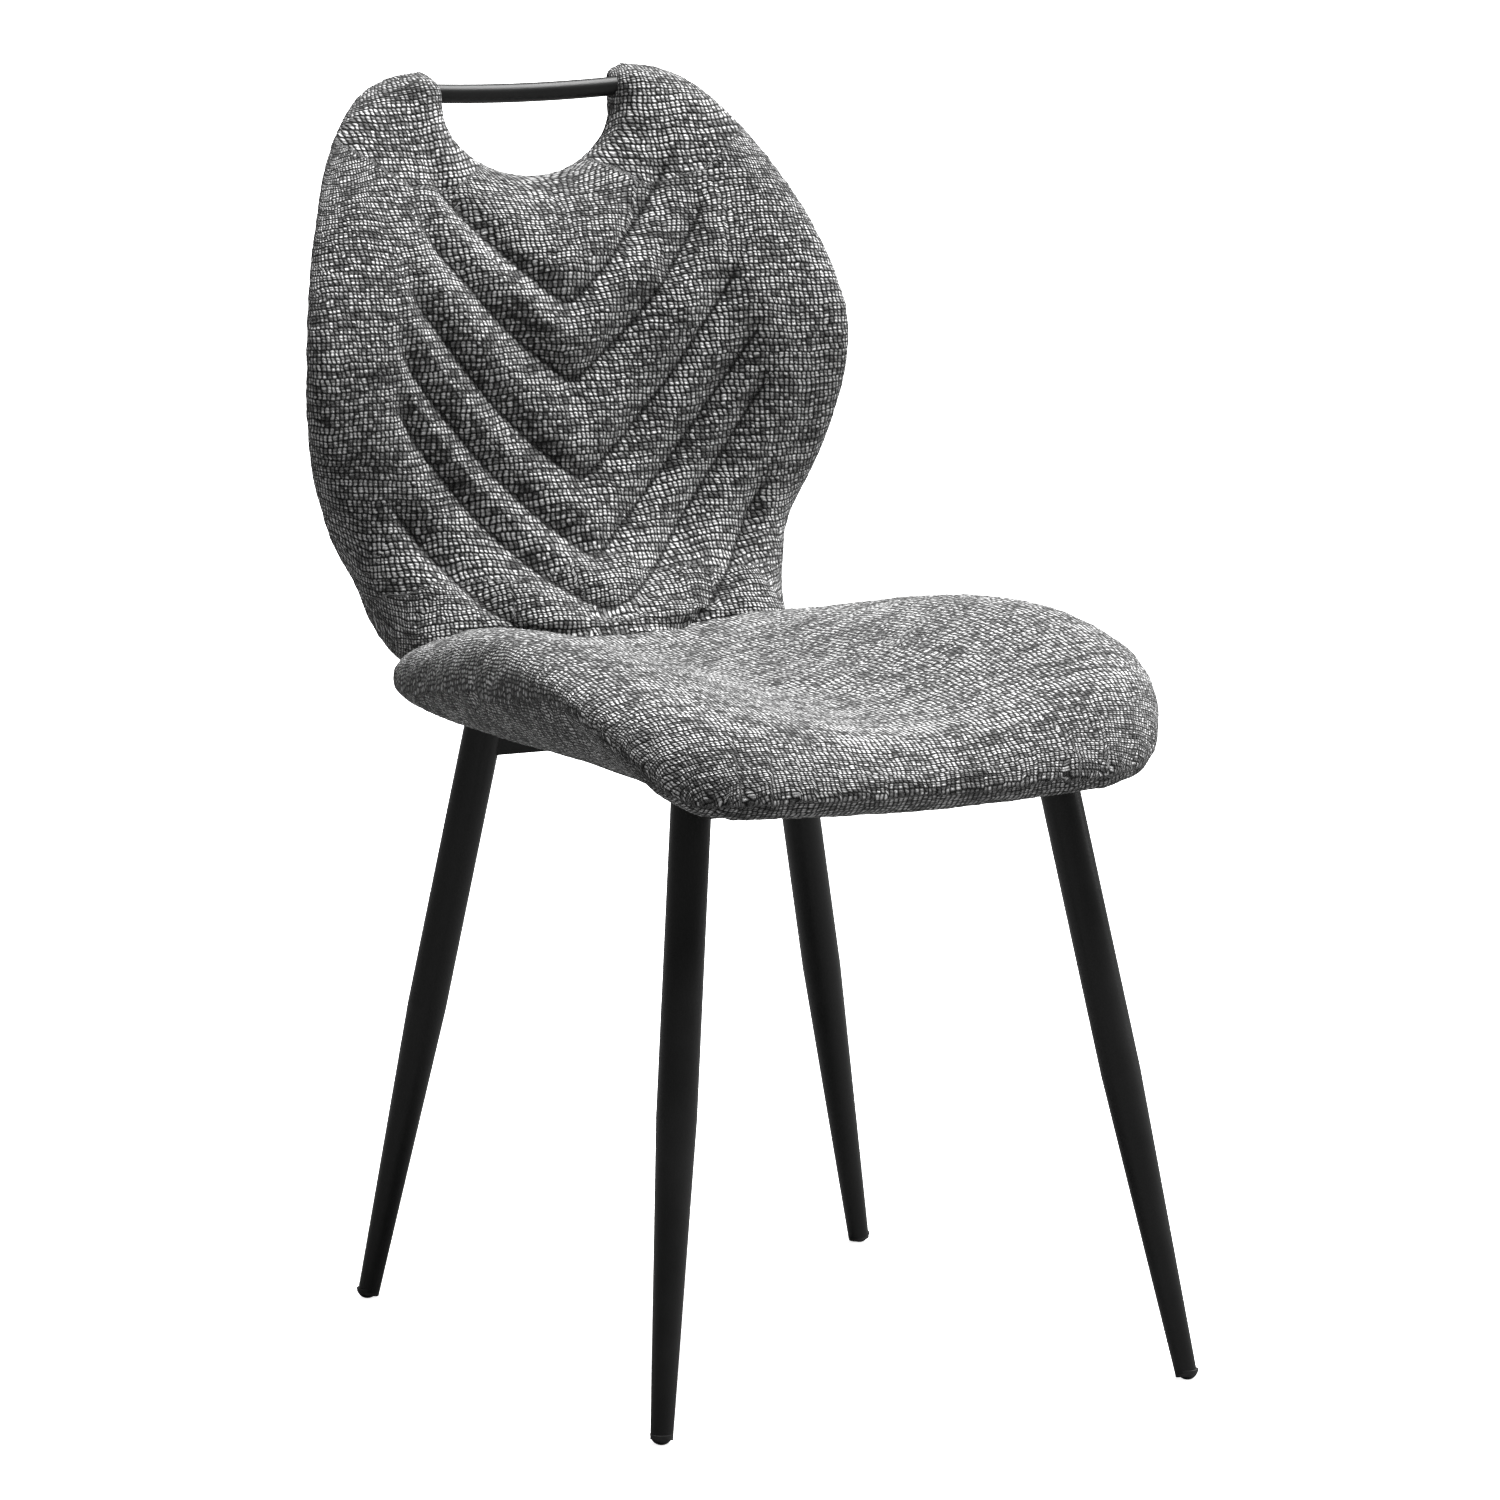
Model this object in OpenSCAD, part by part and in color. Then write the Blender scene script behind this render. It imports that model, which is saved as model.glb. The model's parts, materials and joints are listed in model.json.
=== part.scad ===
// Upholstered shell chair on four splayed tapered steel legs.
// Z is up, the floor is z = 0 and the sitter faces -Y.

/* [Overall] */
// Height of the chair at the top of the ears
overall_h = 868; // [780:1:960]
// Depth of the chair, seat nose to the rear of the back
overall_d = 671; // [640:1:720]

/* [Seat] */
// Widest width of the upholstered seat
seat_w = 446; // [400:1:520]
// Height of the flat underside of the seat
seat_base_z = 426; // [380:1:460]
// Length of the seat, nose to rear edge
seat_l = 536; // [480:1:580]
// Height of the seat's rolled side above its underside, at its highest
seat_side_h = 91; // [70:1:110]
// Height of the dished middle above the underside
seat_dish_h = 38; // [30:1:60]
// How far the front lip hangs below the flat underside
seat_lip = 19; // [0:1:24]
// How far in from the edge the seat's roll reaches
seat_roll_r = 46; // [30:1:60]

/* [Back] */
// Widest width of the upholstered back
back_w = 442; // [380:1:500]
// Thickness of the back pad
back_t = 44; // [40:1:60]
// Thickness of the back pad at its foot, where it meets the seat
back_foot_t = 62; // [50:1:70]
// Height of the back pad's lower edge
back_base_z = 448; // [440:1:480]
// Radius of the back pad's rounded edge
back_edge_r = 26; // [16:1:34]
// Width of the hand hole
notch_w = 144; // [120:1:180]
// Depth of the hand hole's half ellipse
notch_depth = 57; // [40:1:80]
// Height of the ears above the hand hole's widest line
ear_rise = 16; // [10:1:24]

/* [Cover] */
// Thickness of the woven fabric
fabric_t = 2; // [1:0.5:3]
// Gap between soft pieces and what they touch
soft_gap = 0.3; // [0.2:0.1:1]

/* [Boards] */
// Thickness of the plywood seat board
seat_board_t = 12; // [9:1:15]
// Width of the seat board, at its widest
seat_board_w = 304; // [280:1:310]
// Distance from the seat nose back to the board's front edge
seat_board_front = 60; // [54:1:62]
// Thickness of the moulded plywood back board
back_board_t = 8; // [6:0.5:9]
// Width of the back board
back_board_w = 262; // [240:1:266]
// Width of the back board's foot
back_foot_w = 170; // [150:1:180]
// Wood left round the hand hole, between board and pad edge
notch_margin = 17; // [14:1:22]

/* [Handle] */
// Outer diameter of the handle tube
handle_d = 14; // [10:0.5:18]
// Wall of the handle tube
handle_wall = 1.5; // [1:0.1:2.5]
// Length of tube hidden in each ear
handle_tail = 38; // [30:1:50]
// How far the middle of the handle bows down
handle_bow = 4.5; // [1:0.5:6]
// Drop of the handle ends below the ear tops
handle_drop = 18; // [14:1:26]

/* [Legs] */
// Diameter of the legs' straight upper part
leg_top_d = 28; // [22:1:34]
// Diameter of the legs at the floor end
leg_tip_d = 15.5; // [12:0.5:20]
// Wall of the leg tube
leg_wall = 1.5; // [1:0.1:2.5]
// Length of the tapered lower part of a leg
leg_taper_l = 218; // [150:1:260]
// Distance between the front feet
front_foot_span = 406; // [340:1:460]
// Distance between the rear feet
rear_foot_span = 400; // [340:1:460]
// Distance from the front feet to the rear feet
foot_depth = 482; // [400:1:540]
// Distance from the seat nose back to the front feet
foot_setback = 10; // [0:1:60]
// How far each front leg leans inwards
front_lean_x = 63; // [56:1:90]
// How far each front leg leans backwards
front_lean_y = 80; // [72:1:120]
// How far each rear leg leans inwards
rear_lean_x = 80; // [56:1:100]
// How far each rear leg leans forwards
rear_lean_y = 34; // [14:1:80]
// Radius of the small flat under each glide
glide_flat_r = 2.5; // [1.5:0.5:3.5]

/* [Frame] */
// Height of the rear cross tube
rear_bar_h = 25; // [18:1:30]
// Height of the front cross tube
front_bar_h = 12; // [10:1:16]
// Depth of the cross tubes
bar_d = 20; // [15:1:25]
// Wall of the cross tubes
bar_wall = 1.5; // [1:0.1:2.5]
// Thickness of the leg plates
plate_t = 4; // [3:0.5:6]
// Size of the leg plates across the seat
plate_l = 32.4; // [30:0.2:40]
// Steel left outside the bolts' washers on a leg plate
plate_edge = 4; // [2:0.5:10]
// Thickness of the black dust cover
dust_t = 1; // [0.6:0.1:2]

/* [Fasteners] */
// Bolt size for the plates and brackets
bolt_d = 6; // [5:1:8]
// Bolt clearance in its hole, on the radius
bolt_gap = 0.3; // [0.2:0.1:0.5]
// Thickness of the washers
washer_t = 1.6; // [1:0.2:2]
// Room between a leg and the washers beside it
washer_room = 0.81; // [0.4:0.01:3]

/* [Hidden] */
$fn = 48;
eps = 0.01;
big = 2000;
front_y = -overall_d / 2;
rear_y = overall_d / 2;
BLACK = "#1b1b1c";
GREY = "#77777a";
PLY = "#c9a877";
FOAM = "#e8dcb4";
ZINC = "#b8bcc0";

// ---- smooth curves through a few design points ----

// Index of the table row that starts the span holding t.
function span_of(t, tab, i = 0) = i >= len(tab) - 2 || t < tab[i + 1][0] ? i : span_of(t, tab, i + 1);
// Slope of the table at row i.
function slope_at(tab, i) =
    let (a = max(i - 1, 0), b = min(i + 1, len(tab) - 1)) (tab[b][1] - tab[a][1]) / (tab[b][0] - tab[a][0]);
// Cubic through the rows [t, value] of a table, held flat beyond its ends.
function curve(t, tab) =
    let (tt = min(max(t, tab[0][0]), tab[len(tab) - 1][0]), i = span_of(tt, tab),
         w = tab[i + 1][0] - tab[i][0], s = (tt - tab[i][0]) / w,
         m0 = slope_at(tab, i) * w, m1 = slope_at(tab, i + 1) * w)
    (2 * s ^ 3 - 3 * s ^ 2 + 1) * tab[i][1] + (s ^ 3 - 2 * s ^ 2 + s) * m0
    + (3 * s ^ 2 - 2 * s ^ 3) * tab[i + 1][1] + (s ^ 3 - s ^ 2) * m1;
// Open Catmull-Rom curve through 2D points, with `steps` pieces to a span.
function through(p, steps) = [
    for (i = [0 : len(p) - 2], k = [0 : steps - 1])
        let (a = p[max(i - 1, 0)], b = p[i], c = p[i + 1], d = p[min(i + 2, len(p) - 1)], s = k / steps)
        0.5 * (2 * b + (c - a) * s + (2 * a - 5 * b + 4 * c - d) * s ^ 2 + (3 * b - a - 3 * c + d) * s ^ 3)];
// A half outline from the -Y or -Z end round to the other end, made whole by mirroring it.
function whole(half) = concat(half, [for (i = [len(half) - 2 : -1 : 1]) [-half[i][0], half[i][1]]]);
function unit(v) = v / norm(v);
// Outward normal of a counter-clockwise outline at point i.
function normal_at(o, i) =
    let (n = len(o), t = unit(o[(i + 1) % n] - o[(i + n - 1) % n])) [t[1], -t[0]];
function inset(o, by) = [for (i = [0 : len(o) - 1]) o[i] - by * normal_at(o, i)];

// ---- a padded solid: a closed outline with rounded edges on both faces ----

// Shares of the way from the pad's middle to its edge at which rings of points lie.
RINGS = [0.28, 0.52, 0.7, 0.82, 0.9, 0.955, 0.988, 1];
// Quarter-round profile of the edge: 0 at the outline, 1 from r inwards.
function roll(d, r) = d >= r ? 1 : sqrt(1 - (1 - max(d, 0) / r) ^ 2);

// Distance from p to the segment a-b, and to the nearest side of a closed outline.
function to_segment(p, a, b) =
    let (u = b - a, s = min(max((p - a) * u / (u * u), 0), 1)) norm(p - a - s * u);
function to_outline(p, o) = min([for (i = [0 : len(o) - 1]) to_segment(p, o[i], o[(i + 1) % len(o)])]);
// Point at share s of the way from c to outline point i, with its distance from the outline.
function ring_point(o, c, i, s) = let (p = c + s * (o[i] - c)) [p, s == 1 ? 0 : to_outline(p, o)];

// place(p, d, face) gives the 3D point over outline-plane point p, at distance d from the edge.
module pad(o, c, place) {
    n = len(o);
    k = len(RINGS);
    plane = [for (j = [0 : k - 1]) [for (i = [0 : n - 1]) ring_point(o, c, i, RINGS[j])]];
    function ring(j, face) = [for (q = plane[j]) place(q[0], q[1], face)];
    points = concat([place(c, big, 1)], [for (j = [0 : k - 1]) each ring(j, 1)],
                    [for (j = [0 : k - 2]) each ring(j, -1)], [place(c, big, -1)]);
    last = len(points) - 1;
    // Position of point i of ring j, with the rear rings counted back from the shared edge.
    function at(j, i) = 1 + j * n + i % n;
    function back(j, i) = j == k - 1 ? at(j, i) : at(k + j, i);
    faces = concat(
        [for (i = [0 : n - 1]) [0, at(0, i), at(0, i + 1)]],
        [for (j = [0 : k - 2], i = [0 : n - 1]) each [[at(j, i), at(j + 1, i), at(j + 1, i + 1)],
                                                      [at(j, i), at(j + 1, i + 1), at(j, i + 1)]]],
        [for (i = [0 : n - 1]) [last, back(0, i + 1), back(0, i)]],
        [for (j = [0 : k - 2], i = [0 : n - 1]) each [[back(j, i), back(j + 1, i + 1), back(j + 1, i)],
                                                      [back(j, i), back(j, i + 1), back(j + 1, i + 1)]]]);
    polyhedron(points, [for (f = faces) [f[2], f[1], f[0]]], convexity = 6);
}

// A skin between two such pads, over one face, or over both when the hem ring is not -1: the other
// face is then covered only from its outline in to that ring.
module skin(o, oi, c, place_out, place_in, face, hem) {
    n = len(o);
    k = len(RINGS);
    rows = concat([for (j = [0 : k - 1]) [j, face]],
                  hem < 0 ? [] : [for (j = [k - 2 : -1 : hem]) [j, -face]]);
    m = len(rows);
    function sheet(out, place) = concat([place(c, big, face)], [for (r = rows, i = [0 : n - 1])
        let (q = ring_point(out, c, i, RINGS[r[0]])) place(q[0], q[1], r[1])]);
    points = concat(sheet(o, place_out), sheet(oi, place_in));
    inner = 1 + m * n;
    function at(base, j, i) = base + 1 + j * n + i % n;
    function disc(base) = concat(
        [for (i = [0 : n - 1]) [base, at(base, 0, i), at(base, 0, i + 1)]],
        [for (j = [0 : m - 2], i = [0 : n - 1]) each [
            [at(base, j, i), at(base, j + 1, i), at(base, j + 1, i + 1)],
            [at(base, j, i), at(base, j + 1, i + 1), at(base, j, i + 1)]]]);
    rim = [for (i = [0 : n - 1]) each [
        [at(0, m - 1, i), at(inner, m - 1, i), at(inner, m - 1, i + 1)],
        [at(0, m - 1, i), at(inner, m - 1, i + 1), at(0, m - 1, i + 1)]]];
    outward = concat([for (f = disc(0)) [f[2], f[1], f[0]]], disc(inner), [for (f = rim) [f[2], f[1], f[0]]]);
    polyhedron(points, face > 0 ? outward : [for (f = outward) [f[2], f[1], f[0]]], convexity = 8);
}

// ---- seat shape ----

seat_rear_y = front_y + seat_l;
seat_top_z = seat_base_z + seat_side_h;
// Half plan of the seat, as shares of half its width and of its length from the nose.
SEAT_PLAN = [[0, 0], [0.38, 0.003], [0.68, 0.02], [0.87, 0.068], [0.965, 0.155], [1, 0.29], [1, 0.42],
             [0.98, 0.56], [0.93, 0.70], [0.875, 0.82], [0.81, 0.92], [0.72, 0.98], [0.54, 1], [0, 1]];
// Shares of the rolled side's height from the nose to the rear.
SEAT_RIDGE = [[0, 0.45], [0.08, 0.62], [0.2, 0.83], [0.34, 0.99], [0.45, 1], [0.6, 0.92], [0.8, 0.72], [1, 0.5]];
// Shares of the dish's height from the nose to the rear.
SEAT_DISH = [[0, 0.8], [0.12, 0.95], [0.3, 1], [0.6, 1], [0.8, 1.1], [1, 1.5]];
// Drop of the underside below the board's plane, as a share of the front lip.
SEAT_UNDER = [[0, 1], [0.045, 1], [0.08, 0.5], [0.112, 0], [1, 0]];
// Reach of the underside's roll as a multiple of the top's.
SEAT_UNDER_ROLL = [[0, 0.6], [0.06, 0.75], [0.15, 1.4], [0.27, 1.9], [0.6, 1.8], [0.8, 1.2], [1, 0.8]];
// Height of the outermost edge line as a share of the side's height.
SEAT_EDGE = [[0, 0.04], [0.05, 0.08], [0.12, 0.38], [0.22, 0.66], [0.4, 0.68], [0.62, 0.52], [0.85, 0.28], [1, 0.2]];
seat_half = [for (p = SEAT_PLAN) [p[0] * seat_w / 2, front_y + p[1] * seat_l]];
seat_plan = whole(concat(through(seat_half, 2), [[0, seat_rear_y]]));
seat_mid = [0, front_y + 0.5 * seat_l];
// Share of the seat's length at y.
function seat_t(y) = (y - front_y) / seat_l;
// How far across the seat x is, from 0 in the middle to 1 at the widest.
function across(x, w) = min(abs(x) / (w / 2), 1);

// Place of a point of the seat's outer skin, brought in by `by`.
function seat_place(by) = function (p, d, face)
    let (t = seat_t(p[1]), side = curve(t, SEAT_RIDGE) * seat_side_h,
         dish = min(curve(t, SEAT_DISH) * seat_dish_h, side),
         top = dish + (side - dish) * smooth_step(across(p[0], seat_w) / 0.84) - by,
         edge = curve(t, SEAT_EDGE) * seat_side_h,
         under = by - curve(t, SEAT_UNDER) * seat_lip)
    [p[0], p[1], seat_base_z + edge + (face > 0 ? (top - edge) * roll(d, seat_roll_r)
        : (under - edge) * roll(d, seat_roll_r * curve(t, SEAT_UNDER_ROLL)))];
module seat_form(by) { pad(inset(seat_plan, by), seat_mid, seat_place(by)); }
function smooth_step(s) = let (c = min(max(s, 0), 1)) c * c * (3 - 2 * c);

// ---- back shape ----

back_h = overall_h - back_base_z;
// Half outline of the back, as shares of half its width and of its height from the lower edge.
BACK_SIDE = [[0, 0], [0.54, 0], [0.68, 0.02], [0.73, 0.07], [0.775, 0.135], [0.855, 0.215], [0.945, 0.33],
             [0.99, 0.45], [1, 0.55], [0.97, 0.65], [0.91, 0.752], [0.825, 0.848], [0.705, 0.93],
             [0.585, 0.98]];
notch_z = overall_h - ear_rise;
ear_inner_x = notch_w / 2;
// Distances forward of the pad's rearmost plane at shares of its height: the front face on the
// centre plane, and the middle of the pad's edge.
BACK_FRONT = [[0, 190], [0.105, 163], [0.19, 131], [0.31, 110], [0.475, 96], [0.612, 92], [0.72, 74],
              [0.83, 42], [0.98, 14]];
BACK_EDGE = [[0, 92], [0.12, 57], [0.3, 87], [0.45, 104], [0.575, 106], [0.7, 90], [0.8, 72], [0.94, 36],
             [1, 28]];
notch_arc = [for (a = [14 : 9.5 : 90]) [ear_inner_x * cos(a), notch_z - notch_depth * sin(a)]];
back_half = concat(
    through(concat([for (p = BACK_SIDE) [p[0] * back_w / 2, back_base_z + p[1] * back_h]],
                   [[ear_inner_x + 28, overall_h], [ear_inner_x + 15, overall_h - 1],
                    [ear_inner_x + 6.5, overall_h - 7], [ear_inner_x + 2, notch_z - 2], notch_arc[0]]), 2),
    notch_arc);
back_outline = whole(back_half);
back_mid = [0, back_base_z + 0.29 * back_h];
function back_share(z) = (z - back_base_z) / back_h;
// Half the pad's thickness at height z.
function back_half_t(z) =
    (back_t + (back_foot_t - back_t) * (1 - smooth_step(back_share(z) / 0.3))) / 2;
// Middle of the pad's thickness over the point [x, z], before the pad is set against rear_y.
function back_raw_y(x, z) =
    let (s = back_share(z), c = back_half_t(z) - curve(s, BACK_FRONT), e = -curve(s, BACK_EDGE))
    c + (e - c) * across(x, back_w) ^ 2;
// Furthest the rear face reaches before the pad is set against rear_y.
back_reach = max([for (s = RINGS, i = [0 : len(back_outline) - 1])
    let (q = ring_point(back_outline, back_mid, i, s), z = q[0][1])
    back_raw_y(q[0][0], z) + back_half_t(z) * roll(q[1], back_edge_r)]);
function back_mid_y(x, z) = back_raw_y(x, z) + rear_y - back_reach;

// Place of a point of the back's outer skin, brought in by `by`.
function back_place(by) = function (p, d, face)
    [p[0], back_mid_y(p[0], p[1]) - face * (back_half_t(p[1]) - by) * roll(d, back_edge_r), p[1]];
module back_form(by) { pad(inset(back_outline, by), back_mid, back_place(by)); }

// ---- boards ----

board_z = seat_base_z + fabric_t + soft_gap;
board_top_z = board_z + seat_board_t;
back_board_z = board_top_z + soft_gap;
back_board_top = overall_h - handle_drop - 4;
// The back board follows the pad's middle over this share of its width, by height.
BOARD_REF = [[0, 0.14], [0.3, 0.32], [0.6, 0.45], [1, 0.45]];
board_set_back = 3;
function back_board_y(z) =
    back_mid_y(curve(back_share(z), BOARD_REF) * back_w / 2, max(z, back_base_z)) + board_set_back;
// Lean of the back board from upright at height z, in degrees.
function board_lean(z) = atan((back_board_y(z + 2) - back_board_y(z - 2)) / 4);
seat_board_rear = back_board_y(back_board_z) + back_board_t / 2 + 6;
seat_board_mid_y = front_y + seat_board_front;
seat_board_l = seat_board_rear - seat_board_mid_y;
// Half plan of the seat board, as shares of half its width and of its length.
BOARD_PLAN = [[0, 0], [0.76, 0], [0.92, 0.02], [1, 0.085], [1, 0.4], [0.9, 0.72], [0.78, 0.92], [0.62, 0.99],
              [0, 1]];
board_plan = whole(concat(through([for (p = BOARD_PLAN)
    [p[0] * seat_board_w / 2, seat_board_mid_y + p[1] * seat_board_l]], 3), [[0, seat_board_rear]]));

// Half front view of the back board, from the foot up and round the hand hole.
foot_x = back_foot_w / 2;
wing_x = back_board_w / 2;
hole_x = ear_inner_x + notch_margin;
hole_h = notch_depth + notch_margin;
BOARD_WING = [[0.19, 0], [0.28, 0.35], [0.38, 0.85], [0.46, 1], [0.78, 1], [0.88, 0.85]];
board_half = concat([[0, back_board_z], [foot_x, back_board_z]],
    [for (p = BOARD_WING) [foot_x + (wing_x - foot_x) * p[1], back_base_z + p[0] * back_h]],
    [[hole_x + 20, back_board_top], [hole_x, back_board_top]],
    [for (a = [5 : 17 : 90]) [hole_x * cos(a), notch_z - hole_h * sin(a)]]);

// A strip t thick and w wide that follows the back board's curve, its middle `off` behind it.
module strip(z0, z1, off, t, w) {
    zs = [for (k = [0 : 30]) z0 + (z1 - z0) * k / 30];
    function side(z, d) = let (a = board_lean(z)) [back_board_y(z) + (off + d) * cos(a), z - (off + d) * sin(a)];
    rotate([90, 0, 90]) translate([0, 0, -w / 2]) linear_extrude(w)
        polygon(concat([for (z = zs) side(z, -t / 2)], [for (k = [30 : -1 : 0]) side(zs[k], t / 2)]));
}
// The frame on the back board's middle at [x, z]: local Y is its normal, to the rear.
module on_board(x, z) { translate([x, back_board_y(z), z]) rotate([-board_lean(z), 0, 0]) children(); }
module along_y(y, l) { translate([0, y, 0]) rotate([-90, 0, 0]) linear_extrude(l) children(); }

module back_board_form(grow) {
    intersection() {
        strip(back_board_z - grow, back_board_top + grow, 0, back_board_t + 2 * grow, 2 * (wing_x + grow));
        translate([0, rear_y, 0]) rotate([90, 0, 0]) linear_extrude(overall_d)
            polygon(inset(whole(board_half), -grow));
    }
}

// ---- places of the fasteners and the frame ----

bolt_hole_r = bolt_d / 2 + bolt_gap;
// How far a cut goes past the faces that it opens.
over = 1;
plate_top_z = seat_base_z - dust_t - soft_gap;
plate_z = plate_top_z - plate_t;
front_foot_y = front_y + foot_setback;
rear_foot_y = front_foot_y + foot_depth;
// A leg: foot place, and how far its axis moves in x and y on the way up to the plate.
function foot(side, front) = [side * (front ? front_foot_span : rear_foot_span) / 2,
                              front ? front_foot_y : rear_foot_y];
function leg_run(side, front) = front ? [-side * front_lean_x, front_lean_y] : [-side * rear_lean_x, -rear_lean_y];
function leg_at(side, front, z) = foot(side, front) + leg_run(side, front) * z / plate_z;
function leg_head(side, front) = leg_at(side, front, plate_z);
washer_r = bolt_d;
// A plate's two bolts stand inwards of the leg and either side of it along y, clear of the leg.
plate_bolt_in = 12;
plate_bolt_out = sqrt((leg_top_d / 2 + washer_room + washer_r) ^ 2 - plate_bolt_in ^ 2);
plate_w = 2 * (plate_bolt_out + washer_r + plate_edge);
function plate_bolts_at(side, front) = let (h = leg_head(side, front))
    [for (k = [-1, 1]) [h[0] - side * plate_bolt_in, h[1] + k * plate_bolt_out]];
ALL_LEGS = [for (side = [-1, 1], front = [true, false]) [side, front]];
PLATE_BOLTS = [for (l = ALL_LEGS) each plate_bolts_at(l[0], l[1])];
bracket_w = 36;
bracket_t = 3;
bracket_h = 62;
bracket_l = 44;
bracket_x = 52;
bracket_bolt_z = back_board_z + 42;
bracket_foot_y = back_board_y(back_board_z) - back_board_t / 2 - bracket_t - soft_gap;
bracket_foot_bolt_y = bracket_foot_y - bracket_l * 0.55;
BRACKET_X = [-bracket_x, bracket_x];
SEAT_BRACKET_BOLTS = [for (x = BRACKET_X) [x, bracket_foot_bolt_y]];

// ---- seat ----

module seat_board() {
    color(PLY) difference() {
        translate([0, 0, board_z]) linear_extrude(seat_board_t) polygon(board_plan);
        for (b = PLATE_BOLTS) translate([b[0], b[1], board_z - over])
            cylinder(r = tee_barrel_r + bolt_gap, h = seat_board_t + 2 * over);
        for (b = SEAT_BRACKET_BOLTS) translate([b[0], b[1], board_z - over])
            cylinder(r = bolt_d / 2 + thread_gap, h = seat_board_t + 2 * over);
    }
}
thread_gap = 0.1;
tee_barrel_r = bolt_d / 2 + 1.2;
tee_flange_r = bolt_d / 2 + 6;
tee_flange_t = 1.2;
// A tee nut with its barrel pointing down from z = 0.
module tee_nut(l) {
    difference() {
        union() {
            cylinder(r = tee_flange_r, h = tee_flange_t);
            translate([0, 0, -l]) cylinder(r = tee_barrel_r, h = l + tee_flange_t);
        }
        translate([0, 0, -l - over]) cylinder(r = bolt_d / 2 + thread_gap, h = l + tee_flange_t + 2 * over);
    }
}
tee_l = seat_board_t * 0.75;
module seat_tee_nuts() {
    color(ZINC) for (b = PLATE_BOLTS) translate([b[0], b[1], board_top_z]) tee_nut(tee_l);
}
// Room in the foam for a fastener's head: radius and height.
head_room_r = tee_flange_r + 1;
module seat_foam() {
    color(FOAM) difference() {
        seat_form(fabric_t + soft_gap);
        back_form(-soft_gap);
        translate([0, 0, seat_base_z - seat_lip - 1])
            linear_extrude(board_top_z + soft_gap - seat_base_z + seat_lip + 1)
                polygon(inset(board_plan, -soft_gap));
        for (b = PLATE_BOLTS) translate([b[0], b[1], board_z]) cylinder(r = head_room_r, h = seat_board_t + 4);
        for (x = BRACKET_X) translate([x - bracket_w / 2 - 1, bracket_foot_y - bracket_l - 1, board_z])
            cube([bracket_w + 2, bracket_l + 40, seat_board_t + 12]);
    }
}
module seat_cover() {
    color(GREY) difference() {
        skin(seat_plan, inset(seat_plan, fabric_t), seat_mid, seat_place(0), seat_place(fabric_t), 1, HEM_RING);
        back_form(-soft_gap);
        for (b = PLATE_BOLTS) translate([b[0], b[1], seat_base_z - over])
            cylinder(r = bolt_hole_r, h = fabric_t + 2 * over);
    }
}
// The seat cover's hem ends at this ring of the underside.
HEM_RING = 1;
module dust_cover() {
    color(BLACK) translate([0, 0, plate_top_z + soft_gap]) difference() {
        linear_extrude(dust_t) polygon(inset(board_plan, dust_inset));
        for (b = PLATE_BOLTS) translate([b[0], b[1], -over]) cylinder(r = bolt_hole_r, h = dust_t + 2 * over);
    }
}
dust_inset = 6;
staple_w = 11;
staple_wire = 0.8;
staple_inset = 14;
STAPLES = [for (i = [0 : 3 : len(board_plan) - 1]) i];
module hem_staples() {
    ring = inset(board_plan, staple_inset);
    color(ZINC) for (i = STAPLES) let (n = normal_at(board_plan, i))
        translate([ring[i][0], ring[i][1], 0]) rotate([0, 0, atan2(n[1], n[0]) + 90]) {
            translate([-staple_w / 2, -staple_wire / 2, seat_base_z + soft_gap / 2 - staple_wire])
                cube([staple_w, staple_wire, staple_wire]);
        }
}

// ---- back ----

module back_board() {
    color(PLY) difference() {
        back_board_form(0);
        for (x = BRACKET_X) on_board(x, bracket_bolt_z)
            along_y(-back_board_t, 2 * back_board_t) circle(r = tee_barrel_r + bolt_gap);
        for (x = CLIP_X, d = CLIP_SCREW_Z) on_board(x, handle_z)
            translate([0, 0, -d]) along_y(-back_board_t, 2 * back_board_t) circle(r = clip_screw_r + thread_gap / 2);
    }
}
module back_foam() {
    color(FOAM) difference() {
        back_form(fabric_t + soft_gap);
        back_board_form(soft_gap);
        handle_tube(handle_d / 2 + soft_gap, 0, 1);
        for (x = CLIP_X) on_board(x, handle_z) translate([-clip_w / 2 - 1, -back_board_t / 2 - clip_stand - 9, -clip_tab - 2])
            cube([clip_w + 2, clip_stand + 9 + back_board_t / 2, clip_tab + 12]);
        for (x = BRACKET_X) translate([x - bracket_w / 2 - 1, 0, 0])
            pocket_prism(bracket_w + 2);
    }
}
// Room in the foam round a bracket, its bolt heads and the tee nut behind it.
module pocket_prism(w) {
    translate([w / 2, 0, 0]) strip(board_top_z - 12, back_board_z + bracket_h + 2, 0,
                                   2 * (back_board_t / 2 + bracket_t + 6), w);
}
module back_cover_front() { color(GREY) back_skin(1); }
module back_cover_rear() { color(GREY) back_skin(-1); }
module back_skin(face) {
    skin(back_outline, inset(back_outline, fabric_t), back_mid, back_place(0), back_place(fabric_t), face, -1);
}
module back_tee_nuts() {
    color(ZINC) for (x = BRACKET_X) on_board(x, bracket_bolt_z)
        translate([0, back_board_t / 2, 0]) rotate([-90, 0, 0]) tee_nut(back_board_t * 0.75);
}

// ---- brackets between the boards ----

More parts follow.
